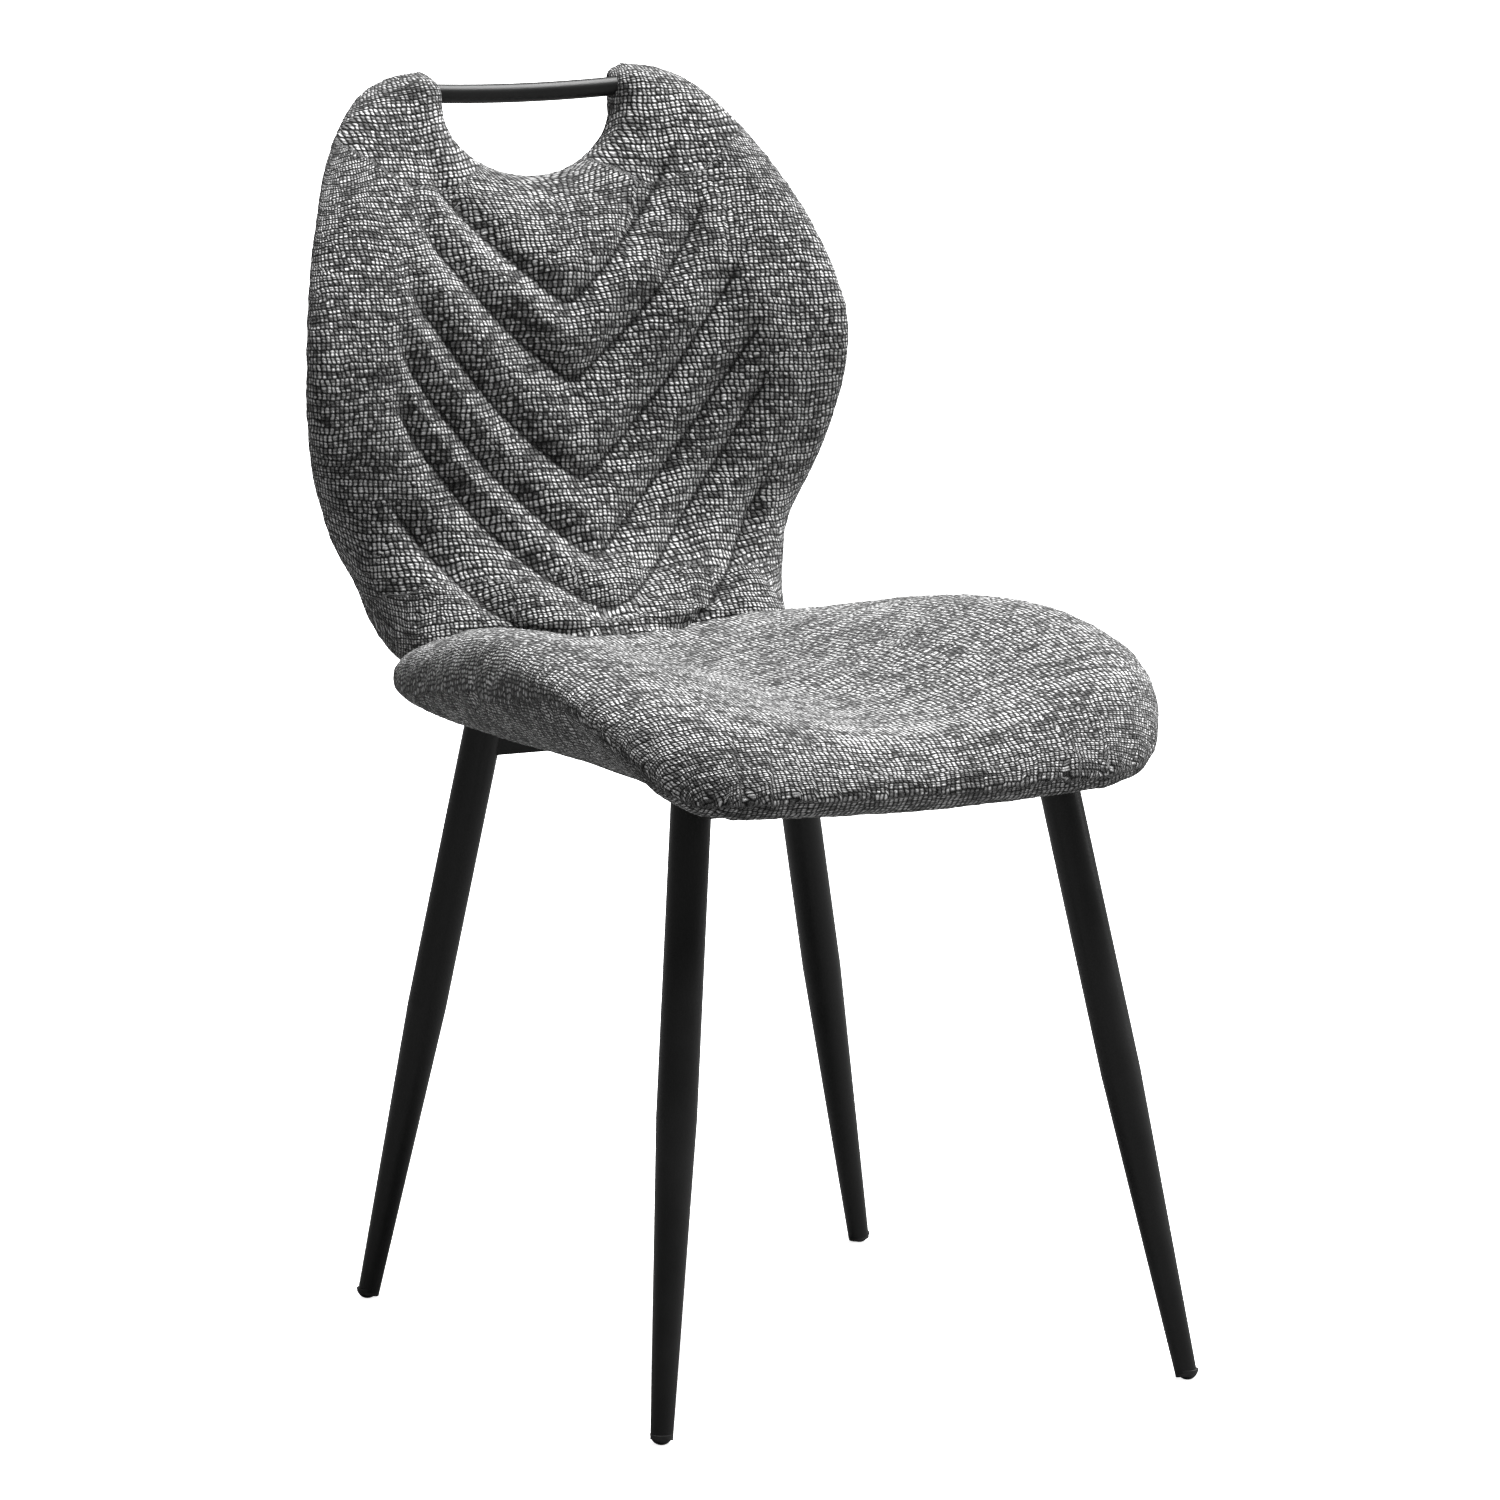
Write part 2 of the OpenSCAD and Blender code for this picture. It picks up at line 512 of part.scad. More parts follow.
module bracket(x) {
    color(ZINC) translate([x, 0, 0]) difference() {
        union() {
            strip(board_top_z + soft_gap, back_board_z + bracket_h, -(back_board_t + bracket_t) / 2 - soft_gap,
                  bracket_t, bracket_w);
            translate([-bracket_w / 2, bracket_foot_y - bracket_l, board_top_z + soft_gap])
                cube([bracket_w, bracket_l + bracket_t, bracket_t]);
        }
        translate([0, bracket_foot_bolt_y, board_top_z]) cylinder(r = bolt_hole_r, h = soft_gap + bracket_t + over);
        on_board(0, bracket_bolt_z) along_y(-20, 20) circle(r = bolt_hole_r);
    }
}
module bracket_left() { bracket(-bracket_x); }
module bracket_right() { bracket(bracket_x); }
// A button-headed bolt with its shank pointing down from z = 0.
module bolt(l) {
    head_h = bolt_d * 0.5;
    translate([0, 0, -l]) cylinder(d = bolt_d, h = l + eps);
    difference() {
        cylinder(r1 = bolt_d * 0.9, r2 = bolt_d * 0.62, h = head_h);
        translate([0, 0, head_h * 0.4]) cylinder(d = bolt_d * 0.62, h = head_h, $fn = 6);
    }
}
module bracket_bolts() {
    stack = bracket_t + soft_gap;
    color(ZINC) for (x = BRACKET_X) {
        translate([x, bracket_foot_bolt_y, board_top_z + stack]) bolt(stack + seat_board_t - 2);
        on_board(x, bracket_bolt_z) translate([0, -back_board_t / 2 - stack, 0]) rotate([90, 0, 0])
            bolt(stack + back_board_t - 0.5);
    }
}

// ---- handle ----

handle_z = overall_h - handle_drop;
handle_half = ear_inner_x + handle_tail;
clip_t = 1.5;
clip_gap = 0.4;
clip_w = 14;
clip_tab = 36;
clip_screw_r = 1.8;
screw_gap = 0.2;
screw_head_h = 2;
// Distance from a clip's middle to the tube's end.
clip_in = 14;
CLIP_X = [for (side = [-1, 1]) side * (handle_half - clip_in)];
CLIP_SCREW_Z = [18, 29];
// Distance from the back board's front face to the handle's axis.
clip_stand = clip_t + clip_gap + handle_d / 2;
handle_y = back_board_y(handle_z) - (back_board_t / 2 + clip_stand) / cos(board_lean(handle_z));
bow_r = (handle_half ^ 2 + handle_bow ^ 2) / (2 * handle_bow);
bow_angle = 2 * asin(handle_half / bow_r);
// The bowed tube, of outer radius r and bore radius bore, longer by `grow` at each end.
module handle_tube(r, bore, grow) {
    a = bow_angle + 2 * atan(grow / bow_r);
    drop = bow_r - handle_bow * (1 - (CLIP_X[1] / handle_half) ^ 2);
    translate([0, handle_y, handle_z + drop]) rotate([90, 0, 0]) rotate([0, 0, -90 - a / 2])
        rotate_extrude(angle = a, $fn = 180) translate([bow_r, 0]) difference() {
            circle(r = r);
            if (bore > 0) circle(r = bore);
        }
}
module handle_bar() { color(BLACK) handle_tube(handle_d / 2, handle_d / 2 - handle_wall, 0); }
module handle_clip(x) {
    ring_r = handle_d / 2 + clip_gap + clip_t;
    color(ZINC) on_board(x, handle_z) translate([-clip_w / 2, -back_board_t / 2 - clip_stand, 0])
        difference() {
            union() {
                rotate([0, 90, 0]) cylinder(r = ring_r, h = clip_w);
                translate([0, clip_stand - clip_t, -clip_tab]) cube([clip_w, clip_t, clip_tab]);
            }
            translate([-over, 0, 0]) rotate([0, 90, 0])
                cylinder(r = handle_d / 2 + clip_gap, h = clip_w + 2 * over);
            for (d = CLIP_SCREW_Z) translate([clip_w / 2, 0, -d])
                along_y(0, clip_stand + over) circle(r = clip_screw_r + screw_gap);
        }
}
module handle_clip_left() { handle_clip(CLIP_X[0]); }
module handle_clip_right() { handle_clip(CLIP_X[1]); }
module clip_screws() {
    color(ZINC) for (x = CLIP_X, d = CLIP_SCREW_Z) on_board(x, handle_z)
        translate([0, -back_board_t / 2 - clip_t, -d]) rotate([-90, 0, 0]) {
            cylinder(r = clip_screw_r, h = clip_t + back_board_t - 1);
            translate([0, 0, -screw_head_h]) cylinder(r = clip_screw_r * 1.9, h = screw_head_h);
        }
}

// ---- steel frame ----

// The axis frame of a leg: local Z runs up it from the foot.
module on_leg(side, front) {
    run = leg_run(side, front);
    f = foot(side, front);
    tilt = atan(norm(run) / plate_z);
    translate([f[0], f[1], 0]) rotate([0, tilt, atan2(run[1], run[0])]) rotate([0, 0, -atan2(run[1], run[0])])
        children();
}
leg_slant = 1.04;
glide_z = 5;
plug_l = 16;
plug_gap = 0.1;
module leg(side, front) {
    tip_r = leg_tip_d / 2;
    top_r = leg_top_d / 2;
    long = plate_z * leg_slant + 20;
    color(BLACK) intersection() {
        on_leg(side, front) rotate_extrude() polygon([
            [tip_r - leg_wall, glide_z], [tip_r, glide_z], [top_r, leg_taper_l], [top_r, long],
            [top_r - leg_wall, long], [top_r - leg_wall, leg_taper_l]]);
        translate([-big / 2, -big / 2, 0]) cube([big, big, plate_z]);
    }
}
module leg_front_left() { leg(-1, true); }
module leg_front_right() { leg(1, true); }
module leg_rear_left() { leg(-1, false); }
module leg_rear_right() { leg(1, false); }

// A domed plastic foot with a plug up the leg and a small flat on the floor.
module glide(side, front) {
    r = leg_tip_d / 2;
    plug_r = r - leg_wall - plug_gap;
    sink = sqrt(r ^ 2 - glide_flat_r ^ 2);
    color(BLACK) difference() {
        union() {
            on_leg(side, front) {
                translate([0, 0, glide_z - eps]) cylinder(r = plug_r, h = plug_l);
                translate([0, 0, sink * 0.4]) cylinder(r = r, h = glide_z - sink * 0.4 - eps);
            }
            translate([foot(side, front)[0], foot(side, front)[1], sink]) intersection() {
                sphere(r = r);
                translate([-r, -r, -r]) cube([2 * r, 2 * r, r]);
            }
        }
        translate([-big / 2, -big / 2, -10]) cube([big, big, 10]);
    }
}
module glide_front_left() { glide(-1, true); }
module glide_front_right() { glide(1, true); }
module glide_rear_left() { glide(-1, false); }
module glide_rear_right() { glide(1, false); }

// A cross tube between two legs, its ends coped round them.
module bar(front) {
    bar_h = front ? front_bar_h : rear_bar_h;
    bar_z = plate_z - bar_h;
    a = leg_at(-1, front, bar_z + bar_h / 2);
    color(BLACK) difference() {
        translate([a[0], a[1] - bar_d / 2, bar_z]) cube([-2 * a[0], bar_d, bar_h]);
        translate([a[0] - 1, a[1] - bar_d / 2 + bar_wall, bar_z + bar_wall])
            cube([2 - 2 * a[0], bar_d - 2 * bar_wall, bar_h - 2 * bar_wall]);
        for (side = [-1, 1]) on_leg(side, front) translate([0, 0, bar_z - 40])
            cylinder(r = leg_top_d / 2 + eps, h = bar_h + 120);
    }
}
module bar_front() { bar(true); }
module bar_rear() { bar(false); }
module plate(side, front) {
    h = leg_head(side, front);
    color(BLACK) difference() {
        translate([h[0] - side * plate_bolt_in / 2 - plate_l / 2, h[1] - plate_w / 2, plate_z])
            cube([plate_l, plate_w, plate_t]);
        for (b = plate_bolts_at(side, front)) translate([b[0], b[1], plate_z - over])
            cylinder(r = bolt_hole_r, h = plate_t + 2 * over);
    }
}
module plate_front_left() { plate(-1, true); }
module plate_front_right() { plate(1, true); }
module plate_rear_left() { plate(-1, false); }
module plate_rear_right() { plate(1, false); }
module plate_washers() {
    color(ZINC) for (b = PLATE_BOLTS) translate([b[0], b[1], plate_z - washer_t]) difference() {
        cylinder(r = washer_r, h = washer_t);
        translate([0, 0, -over]) cylinder(r = bolt_hole_r, h = washer_t + 2 * over);
    }
}
module plate_bolts() {
    l = washer_t + plate_top_z - plate_z + seat_board_t;
    color(ZINC) for (b = PLATE_BOLTS) translate([b[0], b[1], plate_z - washer_t]) rotate([180, 0, 0]) bolt(l);
}

seat_board();
seat_foam();
seat_cover();
dust_cover();
hem_staples();
seat_tee_nuts();
back_board();
back_foam();
back_cover_front();
back_cover_rear();
back_tee_nuts();
bracket_left();
bracket_right();
bracket_bolts();
handle_bar();
handle_clip_left();
handle_clip_right();
clip_screws();
bar_front();
bar_rear();
plate_front_left();
plate_front_right();
plate_rear_left();
plate_rear_right();
plate_bolts();
plate_washers();
leg_front_left();
leg_front_right();
leg_rear_left();
leg_rear_right();
glide_front_left();
glide_front_right();
glide_rear_left();
glide_rear_right();
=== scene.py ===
import json
import math

import bmesh
import bpy
import numpy as np
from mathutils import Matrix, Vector, noise
from mathutils.kdtree import KDTree


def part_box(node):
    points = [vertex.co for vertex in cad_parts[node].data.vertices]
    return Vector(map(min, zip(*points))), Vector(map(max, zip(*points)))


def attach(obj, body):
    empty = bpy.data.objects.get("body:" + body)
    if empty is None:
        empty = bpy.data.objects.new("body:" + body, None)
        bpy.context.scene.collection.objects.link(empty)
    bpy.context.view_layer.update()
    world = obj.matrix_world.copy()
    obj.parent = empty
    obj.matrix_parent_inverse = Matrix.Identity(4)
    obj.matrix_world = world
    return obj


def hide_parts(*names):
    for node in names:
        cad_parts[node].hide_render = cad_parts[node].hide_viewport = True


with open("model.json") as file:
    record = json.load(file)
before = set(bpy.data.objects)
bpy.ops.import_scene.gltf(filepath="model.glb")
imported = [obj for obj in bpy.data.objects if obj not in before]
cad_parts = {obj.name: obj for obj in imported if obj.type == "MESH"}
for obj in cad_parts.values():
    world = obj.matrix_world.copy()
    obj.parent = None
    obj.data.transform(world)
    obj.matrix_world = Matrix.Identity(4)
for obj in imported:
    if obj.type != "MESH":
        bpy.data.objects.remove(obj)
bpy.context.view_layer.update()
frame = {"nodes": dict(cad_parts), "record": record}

scene = bpy.context.scene
scene.view_settings.view_transform = "Standard"

# ---------------------------------------------------------------- sizes, in metres

REMESH = 0.004
PAD_SWELL = 0.0035
PAD_SHRINK = 0.0025
CLOTH_FRAMES = 20
LUMP_SIZE = 0.006
LUMP_HEIGHT = 0.0011

# A pad lies still on what is this close to its board, and the back does below this height.
BOARD_ROOM = 0.004
BACK_HELD_BELOW = 0.455

# The ears: where the handle's stub is cut off inside them, and how their inner corners are shaped.
EAR_WALL = 0.077
EAR_SOFT = 0.045
EAR_ROUNDS = 10
EAR_FULL = 0.0025
EAR_RISE = 0.014
EAR_NEAR = 0.005
EAR_INWARD = 0.008
# The top of the back stands a little further forwards.
EARS_FORWARD = 0.005
FORWARD_FROM, FORWARD_TO = 0.72, 0.84

# Fuller lower corners of the back, over the end of the seat.
FOOT_X = 0.150
FOOT_Z = 0.490
FOOT_REACH = 0.07
FOOT_FULL = 0.006

# The weave: the height of a row of loops and the length of a loop.
ROW_PITCH = 0.0025
BUMP_PITCH = 0.0036

# Quilting on the back: each line is a V that climbs from its tip on the centre line.
# tip height, slope at the tip, how fast the slope grows, half width
QUILT = [
    (0.704, 0.75, 3.0, 0.104),
    (0.647, 0.70, 3.6, 0.121),
    (0.578, 0.70, 3.4, 0.141),
    (0.527, 0.68, 2.9, 0.152),
    (0.490, 0.45, 4.0, 0.156),
    (0.432, 0.45, 3.0, 0.160),
]
QUILT_TIP_RADIUS = 0.004
QUILT_DEPTH = 0.0062
QUILT_HALF = 0.0078
QUILT_FADE = 0.022
PUFF = 0.0034
PUFF_HALF = 0.016
PUFF_LEVEL = 0.6

# The seam between the back's front and rear panels runs where the rounded edge turns to the rear.
RIM_SEAM = -0.25
RIM_HALF = 0.16
RIM_DEPTH = 0.0022
RIM_RADIUS = 0.026
RIM_FROM = 0.5

# The dust cloth: the grid it is cut by, how far it sags, and how fine its waves are.
DUST_CUT = 0.012
DUST_SAG = 0.0004
DUST_WAVES = 22

# The floor gives back less light than the camera sees on it, and hides most of the shadow.
FLOOR_SEEN = 0.94
FLOOR_BOUNCE = 0.16
FLOOR_GLOW = 0.9
FLOOR_RADIUS = 60


# ---------------------------------------------------------------- meshes

def new_piece(name, bm):
    """A mesh object made from a bmesh, with its place in its mesh."""
    mesh = bpy.data.meshes.new(name)
    bm.to_mesh(mesh)
    bm.free()
    piece = bpy.data.objects.new(name, mesh)
    scene.collection.objects.link(piece)
    return piece


def copy_of(name, *nodes):
    """One merged mesh object with the shape of these CAD nodes."""
    bm = bmesh.new()
    for node in nodes:
        bm.from_mesh(frame["nodes"][node].data)
    bmesh.ops.remove_doubles(bm, verts=bm.verts, dist=0.00002)
    bmesh.ops.recalc_face_normals(bm, faces=bm.faces)
    return new_piece(name, bm)


def settle(piece):
    """Applies the piece's modifiers to its mesh."""
    graph = bpy.context.evaluated_depsgraph_get()
    mesh = bpy.data.meshes.new_from_object(piece.evaluated_get(graph), depsgraph=graph)
    piece.modifiers.clear()
    old = piece.data
    piece.data = mesh
    bpy.data.meshes.remove(old)


def places(mesh):
    co = np.empty(len(mesh.vertices) * 3, dtype=np.float32)
    mesh.vertices.foreach_get("co", co)
    return co.reshape(-1, 3).astype(float)


def put(mesh, co):
    mesh.vertices.foreach_set("co", co.astype(np.float32).ravel())
    mesh.update()


def normals(mesh):
    out = np.empty(len(mesh.vertices) * 3, dtype=np.float32)
    mesh.vertex_normals.foreach_get("vector", out)
    return out.reshape(-1, 3).astype(float)


def remesh(piece, size):
    mod = piece.modifiers.new("remesh", "REMESH")
    mod.mode = "VOXEL"
    mod.voxel_size = size
    mod.use_smooth_shade = True
    settle(piece)


def neighbours(mesh):
    """Gives a function that draws every point to the middle of its neighbours."""
    ends = np.empty(len(mesh.edges) * 2, dtype=np.int32)
    mesh.edges.foreach_get("vertices", ends)
    a, b = ends[0::2], ends[1::2]
    size = len(mesh.vertices)
    count = np.bincount(ends, minlength=size)[:, None]

    def middle(co):
        total = np.empty_like(co)
        for k in range(3):
            total[:, k] = np.bincount(a, co[b, k], size) + np.bincount(b, co[a, k], size)
        return total / count

    return middle


def even_out(piece, rounds):
    """Smooths the facets away without making the pad smaller: each round draws every point towards
    its neighbours and then pushes it back by a little more."""
    mesh = piece.data
    co = places(mesh)
    middle = neighbours(mesh)
    for _ in range(rounds):
        for factor in (0.5, -0.53):
            co += factor * (middle(co) - co)
    put(mesh, co)


def subdivide(piece, levels=1):
    mod = piece.modifiers.new("subdivide", "SUBSURF")
    mod.levels = levels
    mod.render_levels = levels
    settle(piece)


def smoothstep(a, b, x):
    t = np.clip((x - a) / (b - a), 0, 1)
    return t * t * (3 - 2 * t)


def swell(piece, held):
    """Blows the pad up like a filled cover, and lets no point go further than PAD_SWELL.
    held gives 1 for each point that stays where it is, and 0 for the others."""
    start = places(piece.data)
    hold = held(start)
    out = start - normals(piece.data) * (PAD_SHRINK * (1 - hold))[:, None]
    put(piece.data, out)
    pins = piece.vertex_groups.new(name="pins")
    for i in np.flatnonzero(hold > 0.5):
        pins.add([int(i)], 1.0, "REPLACE")
    mod = piece.modifiers.new("cloth", "CLOTH")
    s = mod.settings
    s.quality = 5
    s.mass = 0.3
    s.tension_stiffness = 25
    s.compression_stiffness = 25
    s.shear_stiffness = 10
    s.bending_stiffness = 2
    s.use_pressure = True
    s.uniform_pressure_force = 4
    s.effector_weights.gravity = 0
    s.vertex_group_mass = "pins"
    mod.point_cache.frame_start = 1
    mod.point_cache.frame_end = CLOTH_FRAMES
    for f in range(1, CLOTH_FRAMES + 1):
        scene.frame_set(f)
    graph = bpy.context.evaluated_depsgraph_get()
    moved = places(piece.evaluated_get(graph).data)
    piece.modifiers.clear()
    piece.vertex_groups.clear()
    scene.frame_set(1)
    step = moved - out
    far = np.linalg.norm(step, axis=1)
    step *= (np.minimum(far, PAD_SWELL) / np.maximum(far, 1e-9))[:, None]
    put(piece.data, out + step)


def soften(piece, centre, reach, rounds):
    """Rounds the pad off near a point."""
    mesh = piece.data
    co = places(mesh)
    middle = neighbours(mesh)
    near = np.linalg.norm(co - np.array(centre), axis=1)
    weight = 0.5 * smoothstep(reach, reach * 0.5, near)[:, None]
    for _ in range(rounds):
        co += weight * (middle(co) - co)
    put(mesh, co)


def fatten(piece, centre, reach, by):
    """Fills the pad out by up to `by` round a point."""
    mesh = piece.data
    co = places(mesh)
    near = np.linalg.norm(co - np.array(centre), axis=1)
    put(mesh, co + normals(mesh) * (by * smoothstep(reach, reach * 0.4, near))[:, None])


def draw_in(piece, centre, reach, by):
    """Shifts the pad near a point along X by up to `by`."""
    co = places(piece.data)
    near = np.linalg.norm(co - np.array(centre), axis=1)
    co[:, 0] += by * smoothstep(reach, EAR_NEAR, near)
    put(piece.data, co)


def roughen(piece):
    """Small lumps of the thick yarn, so that the edges of the pad aren't a clean line."""
    tex = bpy.data.textures.new("yarn_lumps", "CLOUDS")
    tex.noise_scale = LUMP_SIZE
    tex.noise_depth = 1
    mod = piece.modifiers.new("lumps", "DISPLACE")
    mod.texture = tex
    mod.texture_coords = "LOCAL"
    mod.strength = LUMP_HEIGHT
    mod.mid_level = 0.5
    settle(piece)


def smooth_shaded(piece):
    piece.data.polygons.foreach_set("use_smooth", [True] * len(piece.data.polygons))


def cloth_coordinates(piece, up, across):
    """Lays the fabric on the pad: a UV map, in metres, that runs flat over the faces that look along
    the axis 'up' and is carried on over the rounded edges, as the cloth is pulled round them.
    up is 1 (Y) or 2 (Z), and its sign says which of the two is the good side. across is the axis that
    the rows are counted along."""
    mesh = piece.data
    co, no = places(mesh), normals(mesh)
    axis, sign = abs(up), math.copysign(1, up)
    face = no[:, axis] * sign
    uv = np.empty((len(co), 2))
    flat = 0.93
    for side in (1, -1):
        picked = np.flatnonzero(face * side > flat)[::7]
        tree = KDTree(len(picked))
        for i in picked:
            tree.insert((co[i, 0], co[i, across], 0), int(i))
        tree.balance()
        mine = np.flatnonzero((face >= RIM_SEAM) == (side == 1))
        for i in mine:
            x, y = co[i, 0], co[i, across]
            if face[i] * side > flat:
                uv[i] = (x, y)
                continue
            _, j, _ = tree.find((x, y, 0))
            depth = max((co[j, axis] - co[i, axis]) * sign * side, 0)
            uv[i] = (x + no[i, 0] * depth, y + no[i, across] * depth)
    layer = mesh.uv_layers.new(name="cloth")
    loops = np.empty(len(mesh.loops), dtype=np.int32)
    mesh.loops.foreach_get("vertex_index", loops)
    layer.data.foreach_set("uv", uv[loops].astype(np.float32).ravel())


def attribute(piece, name, values):
    layer = piece.data.attributes.new(name, "FLOAT", "POINT")
    layer.data.foreach_set("value", values.astype(np.float32))


# ---------------------------------------------------------------- materials

class Maker:
    """Short names for a material's nodes. Every call gives the socket that it makes."""

    def __init__(self, name):
        self.material = bpy.data.materials.new(name)
        self.material.use_nodes = True
        self.tree = self.material.node_tree
        self.tree.nodes.clear()

    def node(self, kind, out=0, into=(), **settings):
        n = self.tree.nodes.new(kind)
        for key, value in settings.items():
            setattr(n, key, value)
        for key, value in dict(into).items():
            self.feed(n.inputs[key], value)
        return n.outputs[out]

    def feed(self, socket, value):
        if isinstance(value, bpy.types.NodeSocket):
            self.tree.links.new(value, socket)
        else:
            socket.default_value = value

    def math(self, operation, a, b=0.0):
        return self.node("ShaderNodeMath", into={0: a, 1: b}, operation=operation)

    def arch(self, value, power):
        """0 at the ends of 0 to 1 and 1 in the middle. A low power makes it broad."""
        return self.math("POWER", self.math("SINE", self.math("MULTIPLY", value, math.pi)), power)

    def add(self, first, *others):
        for other in others:
            first = self.math("ADD", first, other)
        return first

    def split(self, value):
        """The whole part and the rest."""
        whole = self.math("FLOOR", value)
        return whole, self.math("SUBTRACT", value, whole)

    def vector(self, x=0.0, y=0.0, z=0.0):
        return self.node("ShaderNodeCombineXYZ", into={0: x, 1: y, 2: z})

    def noise(self, at, scale, detail=2.0, rough=0.5):
        return self.node(
            "ShaderNodeTexNoise",
            into={"Vector": at, "Scale": scale, "Detail": detail, "Roughness": rough},
        )

    def remap(self, value, a, b, c, d):
        return self.node("ShaderNodeMapRange", into={"Value": value, 1: a, 2: b, 3: c, 4: d})

    def spread(self, value, margin, by):
        """A value round 0.5, with this margin at each end, made to run from -by to by."""
        return self.remap(value, margin, 1 - margin, -by, by)

    def ramp(self, value, stops):
        n = self.tree.nodes.new("ShaderNodeValToRGB")
        band = n.color_ramp.elements
        while len(band) < len(stops):
            band.new(0.5)
        for e, (at, grey) in zip(band, stops):
            e.position = at
            e.color = (*grey, 1)
        self.feed(n.inputs[0], value)
        return n.outputs[0]

    def place(self):
        return self.node("ShaderNodeTexCoord", out="Object")

    def axes(self, at):
        n = self.tree.nodes.new("ShaderNodeSeparateXYZ")
        self.feed(n.inputs[0], at)
        return n.outputs[0], n.outputs[1], n.outputs[2]

    def same(self, value):
        return self.node("ShaderNodeCombineColor", into={0: value, 1: value, 2: value})

    def bump(self, height, strength, distance):
        into = {"Height": height, "Strength": strength, "Distance": distance}
        return self.node("ShaderNodeBump", into=into)

    def finish(self, **sockets):
        n = self.tree.nodes.new("ShaderNodeBsdfPrincipled")
        for key, value in sockets.items():
            self.feed(n.inputs[key.replace("_", " ")], value)
        end = self.tree.nodes.new("ShaderNodeOutputMaterial")
        self.tree.links.new(n.outputs[0], end.inputs[0])
        return self.material


def grey(v):
    return (v, v, v)


def woven_cloth():
    """Thick melange chenille: rows of fat slanted loops, light and dark yarns mixed. Two rows make a
    pair with a deeper gap round it, and the loops of all the rows stand nearly in columns."""
    k = Maker("cloth_grey_melange")
    where = k.place()
    u, v, _ = k.axes(k.node("ShaderNodeUVMap", uv_map="cloth"))
    sway = k.math("SUBTRACT", k.noise(where, 16.0, 2.0), 0.5)
    drift = k.math("SUBTRACT", k.noise(where, 110.0, 1.0), 0.5)
    v = k.add(v, k.math("MULTIPLY", sway, 0.010), k.math("MULTIPLY", drift, 0.0016))

    rows = k.math("DIVIDE", v, ROW_PITCH)
    row, in_row = k.split(rows)
    pair, in_pair = k.split(k.math("MULTIPLY", rows, 0.5))
    pair_seed = k.node("ShaderNodeTexWhiteNoise", noise_dimensions="1D", into={"W": pair})
    along = k.add(
        k.math("DIVIDE", u, BUMP_PITCH),
        k.math("MULTIPLY", pair_seed, 0.35),
        k.math("MULTIPLY", in_pair, 0.2),
        k.math("MULTIPLY", drift, 1.1),
    )
    loop, in_loop = k.split(along)
    seed = k.node(
        "ShaderNodeTexWhiteNoise", noise_dimensions="2D", into={"Vector": k.vector(loop, row)}
    )

    rib = k.remap(k.arch(in_row, 0.8), 0.0, 1.0, 0.45, 1.0)
    valley = k.remap(k.arch(in_pair, 0.8), 0.0, 0.7, 0.1, 1.0)
    knob = k.math("MULTIPLY", k.math("MULTIPLY", rib, valley), k.arch(in_loop, 1.1))
    fuzz = k.noise(where, 900.0, 3.0, 0.65)
    height = k.math("MULTIPLY", knob, k.remap(seed, 0.0, 1.0, 0.65, 1.0))
    height = k.add(height, k.math("MULTIPLY", fuzz, 0.35))

    yarn_at = k.vector(k.math("MULTIPLY", u, 55.0), k.math("MULTIPLY", row, 7.31))
    yarn = k.noise(yarn_at, 1.0, 3.0, 0.6)
    patch = k.noise(where, 9.0, 3.0, 0.55)
    band_at = k.vector(k.math("MULTIPLY", u, 26.0), k.math("MULTIPLY", v, 95.0), 3.7)
    band = k.noise(band_at, 1.0, 3.0, 0.6)
    tone = k.add(
        k.spread(seed, 0.0, 0.3),
        k.spread(yarn, 0.3, 0.28),
        k.spread(fuzz, 0.25, 0.16),
        k.spread(patch, 0.3, 0.07),
        k.spread(band, 0.3, 0.2),
        0.62,
    )
    yarns = [(0.0, 0.015), (0.3, 0.08), (0.55, 0.3), (0.8, 0.85), (1.0, 1.0)]
    colour = k.ramp(tone, [(at, grey(value)) for at, value in yarns])

    # Painted shade: the colour darkens in the gaps between loops and between rows, where shade falls in
    # the weave.
    gap_shade = k.remap(knob, 0.2, 0.8, 0.0, 1.0)
    # Painted shadow: the colour darkens along the quilted seams and the rim seam, where shade falls in the
    # grooves.
    seam = k.node("ShaderNodeAttribute", out="Fac", attribute_name="seam_shadow_distance")
    seam_shade = k.remap(k.math("ABSOLUTE", seam), 0.0006, 0.0022, 0.12, 1.0)
    shade = k.same(k.math("MULTIPLY", gap_shade, seam_shade))
    colour = k.node(
        "ShaderNodeMix", out=2, data_type="RGBA", blend_type="MULTIPLY", into={0: 1.0, 6: colour, 7: shade}
    )
    return k.finish(
        Base_Color=colour,
        Roughness=0.92,
        Normal=k.bump(height, 1.0, 0.0022),
        Sheen_Weight=0.25,
        Sheen_Roughness=0.5,
        Specular_IOR_Level=0.2,
    )


def black_coat():
    """Satin black powder coat: very dark and slightly cloudy, with a faint orange peel."""
    k = Maker("powder_coat_satin_black")
    where = k.place()
    peel = k.noise(where, 850.0, 2.0)
    cloud = k.noise(where, 14.0, 3.0)
    rough = k.remap(cloud, 0.3, 0.7, 0.3, 0.42)
    colour = k.ramp(cloud, [(0.3, grey(0.009)), (0.75, grey(0.016))])
    return k.finish(
        Base_Color=colour,
        Roughness=rough,
        Normal=k.bump(peel, 0.25, 0.0004),
        Specular_IOR_Level=0.3,
    )


